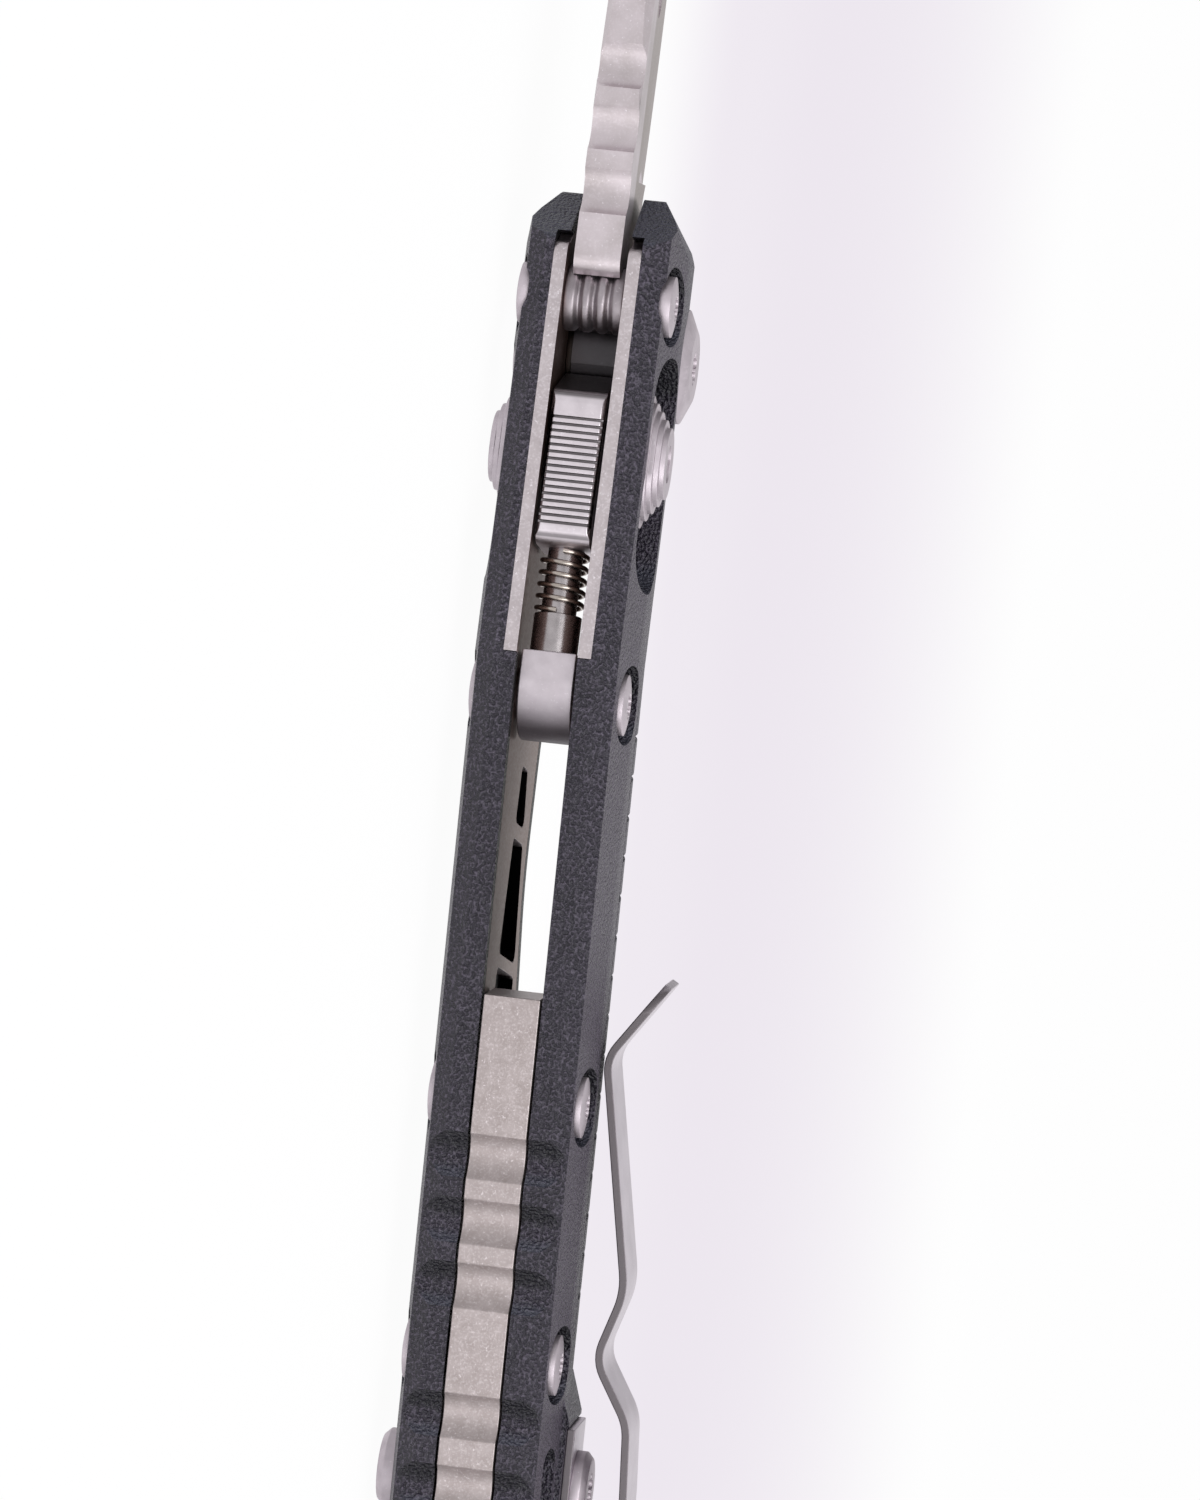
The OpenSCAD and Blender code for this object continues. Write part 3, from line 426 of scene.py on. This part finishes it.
# Sintered steel, bead-blasted: even and without nicks.
blastedSteel = makeFinish({
    "name": "blastedSteel", "dark": "#b9b1b7", "light": "#c8c0c6", "cloud": 1.5 * mm,
    "grain": 0.2 * mm, "grainDetail": 3.0, "mark": 0.25 * mm, "markFrom": 0.66, "markShare": 0.4,
    "crestShare": 0.12, "markColour": "#e2dce2", "markRise": 0.3, "rough": (0.42, 0.55), "bump": 0.25,
    "bumpDepth": 0.03 * mm, "metallic": 1.0, "paintedShadeReach": 0.5 * mm, "paintedShadeShare": 0.75,
    "tones": (
        # painted shade: its rounded shoulder, turned towards -X, is darker than its flat
        {"by": "Normal", "axis": (-1, 0, 0), "from": 0.1, "to": 0.9, "share": 0.85, "colour": "#676167"},
    ),
})
block = {"pieces": ("spring_block",), "finish": blastedSteel, "edge": 0.35 * mm}
dress(block)

# Turned and hardened steel: mid grey, with painted shade in its grooves.
turnedPinSteel = makeFinish({
    "name": "turnedPinSteel", "dark": "#8f878c", "light": "#a29a9f", "cloud": 1.5 * mm,
    "grain": 0.2 * mm, "grainDetail": 3.0, "mark": 0.25 * mm, "markFrom": 0.66, "markShare": 0.4,
    "crestShare": 0.15, "markColour": "#d0c9ce", "markRise": 0.3, "rough": (0.36, 0.48), "bump": 0.2,
    "bumpDepth": 0.03 * mm, "metallic": 1.0, "paintedShadeReach": 0.6 * mm, "paintedShadeShare": 0.85,
})
stopPin = {"pieces": ("stop_pin",), "finish": turnedPinSteel, "edge": 0.06 * mm}
dress(stopPin)

# Stainless, bead-blasted: it scatters a broad pale light.
blastedStainless = makeFinish({
    "name": "blastedStainless", "dark": "#b8afb6", "light": "#c8bfc6", "cloud": 1.5 * mm,
    "grain": 0.2 * mm, "grainDetail": 3.0, "mark": 0.3 * mm, "markFrom": 0.68, "markShare": 0.4,
    "crestShare": 0.12, "markColour": "#f4eff4", "markRise": 0.3, "rough": (0.48, 0.6), "bump": 0.15,
    "bumpDepth": 0.02 * mm, "metallic": 1.0, "paintedShadeReach": 0.5 * mm, "paintedShadeShare": 0.75,
})
screws = {
    "pieces": ("pivot_screw", "pivot_nut", "stop_pin_screws", "block_screws", "backspacer_screws",
               "button_screws", "clip_bolt", "clip_nut"),
    "finish": blastedStainless,
    "edge": 0.12 * mm,
}
buttons = {"pieces": ("left_button", "right_button"), "finish": blastedStainless, "edge": 0.12 * mm}
dress(screws)
dress(buttons)

# Spring steel strip, blasted: pale on its faces.
blastedSpringSteel = makeFinish({
    "name": "blastedSpringSteel", "dark": "#c2bac2", "light": "#cec6ce", "cloud": 3.0 * mm,
    "grain": 0.25 * mm, "grainDetail": 3.0, "mark": 0.3 * mm, "markFrom": 0.68, "markShare": 0.4,
    "crestShare": 0.12, "markColour": "#f2edf2", "markRise": 0.3, "rough": (0.36, 0.5), "bump": 0.2,
    "bumpDepth": 0.03 * mm, "metallic": 1.0,
    "tones": (
        # its edge facing +Y is darker than its faces
        {"by": "Normal", "axis": (-0.182, 0.983, 0), "from": 0.6, "to": 0.85, "share": 0.95,
         "colour": "#625d60"},
    ),
})
clip = {"pieces": ("pocket_clip",), "finish": blastedSpringSteel, "edge": 0.12 * mm}
dress(clip)

# Ground steel rod, oiled: dark at its sides, with a long soft highlight.
oiledRodSteel = makeFinish({
    "name": "oiledRodSteel", "dark": "#9a9496", "light": "#b0aaac", "cloud": 1.0 * mm,
    "grain": 0.2 * mm, "grainDetail": 2.0, "mark": 0.25 * mm, "markFrom": 0.66, "markShare": 0.4,
    "crestShare": 0.1, "markColour": "#a8a29e", "markRise": 0.3, "rough": (0.2, 0.3), "bump": 0.1,
    "bumpDepth": 0.02 * mm, "metallic": 1.0,
})
rod = {"pieces": ("guide_rod",), "finish": oiledRodSteel, "edge": 0.1 * mm}
dress(rod)

# Drawn music wire: warm grey and glossy.
drawnMusicWire = makeFinish({
    "name": "drawnMusicWire", "dark": "#a39a93", "light": "#b5aca5", "cloud": 1.0 * mm,
    "grain": 0.15 * mm, "grainDetail": 2.0, "mark": 0.25 * mm, "markFrom": 0.66, "markShare": 0.3,
    "crestShare": 0.1, "markColour": "#c0b6ae", "markRise": 0.2, "rough": (0.18, 0.28), "bump": 0.08,
    "bumpDepth": 0.02 * mm, "metallic": 1.0,
})
coil = {
    "low": Vector((-16.597, 15.559, 9.15)) * mm,   # middle of the wire at the collar
    "high": Vector((-11.187, 15.559, 9.15)) * mm,  # and at the slider
    "radius": 2.02 * mm,                           # from the rod's axis to the middle of the wire
    "wire": 0.24 * mm,                             # half the wire's thickness
    "turns": 5,
    "ringsPerTurn": 40,
    "sides": 12,
    "crease": 50,
    "still": -18.7 * mm,                           # from here back the real spring stays with the handle
    "moved": -9.04 * mm,                           # from here on the real spring moves with the lock
}


def windSpring(plan):
    mesh = bmesh.new()
    count = plan["turns"] * plan["ringsPerTurn"]
    along = Vector((1, 0, 0))
    rings = []
    for i in range(count + 1):
        share = i / count
        turn = share * plan["turns"] * 2 * math.pi
        out = Vector((0, math.cos(turn), math.sin(turn)))
        centre = plan["high"].lerp(plan["low"], share) + out * plan["radius"]
        ring = []
        for j in range(plan["sides"]):
            angle = j * 2 * math.pi / plan["sides"]
            ring.append(mesh.verts.new(centre + plan["wire"] * (math.cos(angle) * out + math.sin(angle) * along)))
        rings.append(ring)
    for near, far in zip(rings, rings[1:]):
        for j in range(plan["sides"]):
            following = (j + 1) % plan["sides"]
            mesh.faces.new((near[j], near[following], far[following], far[j]))
    mesh.faces.new(rings[0])
    mesh.faces.new(list(reversed(rings[-1])))
    bmesh.ops.recalc_face_normals(mesh, faces=mesh.faces)
    data = bpy.data.meshes.new("coiled_spring")
    mesh.to_mesh(data)
    mesh.free()
    data.materials.append(drawnMusicWire)
    data.shade_smooth()
    data.set_sharp_from_angle(angle=math.radians(plan["crease"]))
    spring = bpy.data.objects.new("coiled_spring", data)
    scene.collection.objects.link(spring)
    return spring


spring = windSpring(coil)
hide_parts("lock_spring")
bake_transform(spring)
print("spring wound")

# Phosphor bronze, lapped: painted shade makes it near black, where it lies between the steel.
bronzeInPaintedShade = makeFinish({
    "name": "bronzeInPaintedShade", "dark": "#2a2625", "light": "#332e2b", "cloud": 1.5 * mm,
    "grain": 0.2 * mm, "grainDetail": 2.0, "mark": 0.25 * mm, "markFrom": 0.68, "markShare": 0.3,
    "crestShare": 0.1, "markColour": "#4b4340", "markRise": 0.2, "rough": (0.3, 0.42), "bump": 0.1,
    "bumpDepth": 0.02 * mm, "metallic": 1.0,
})
washers = {"pieces": ("left_washer", "right_washer"), "finish": bronzeInPaintedShade, "edge": 0.08 * mm}
dress(washers)
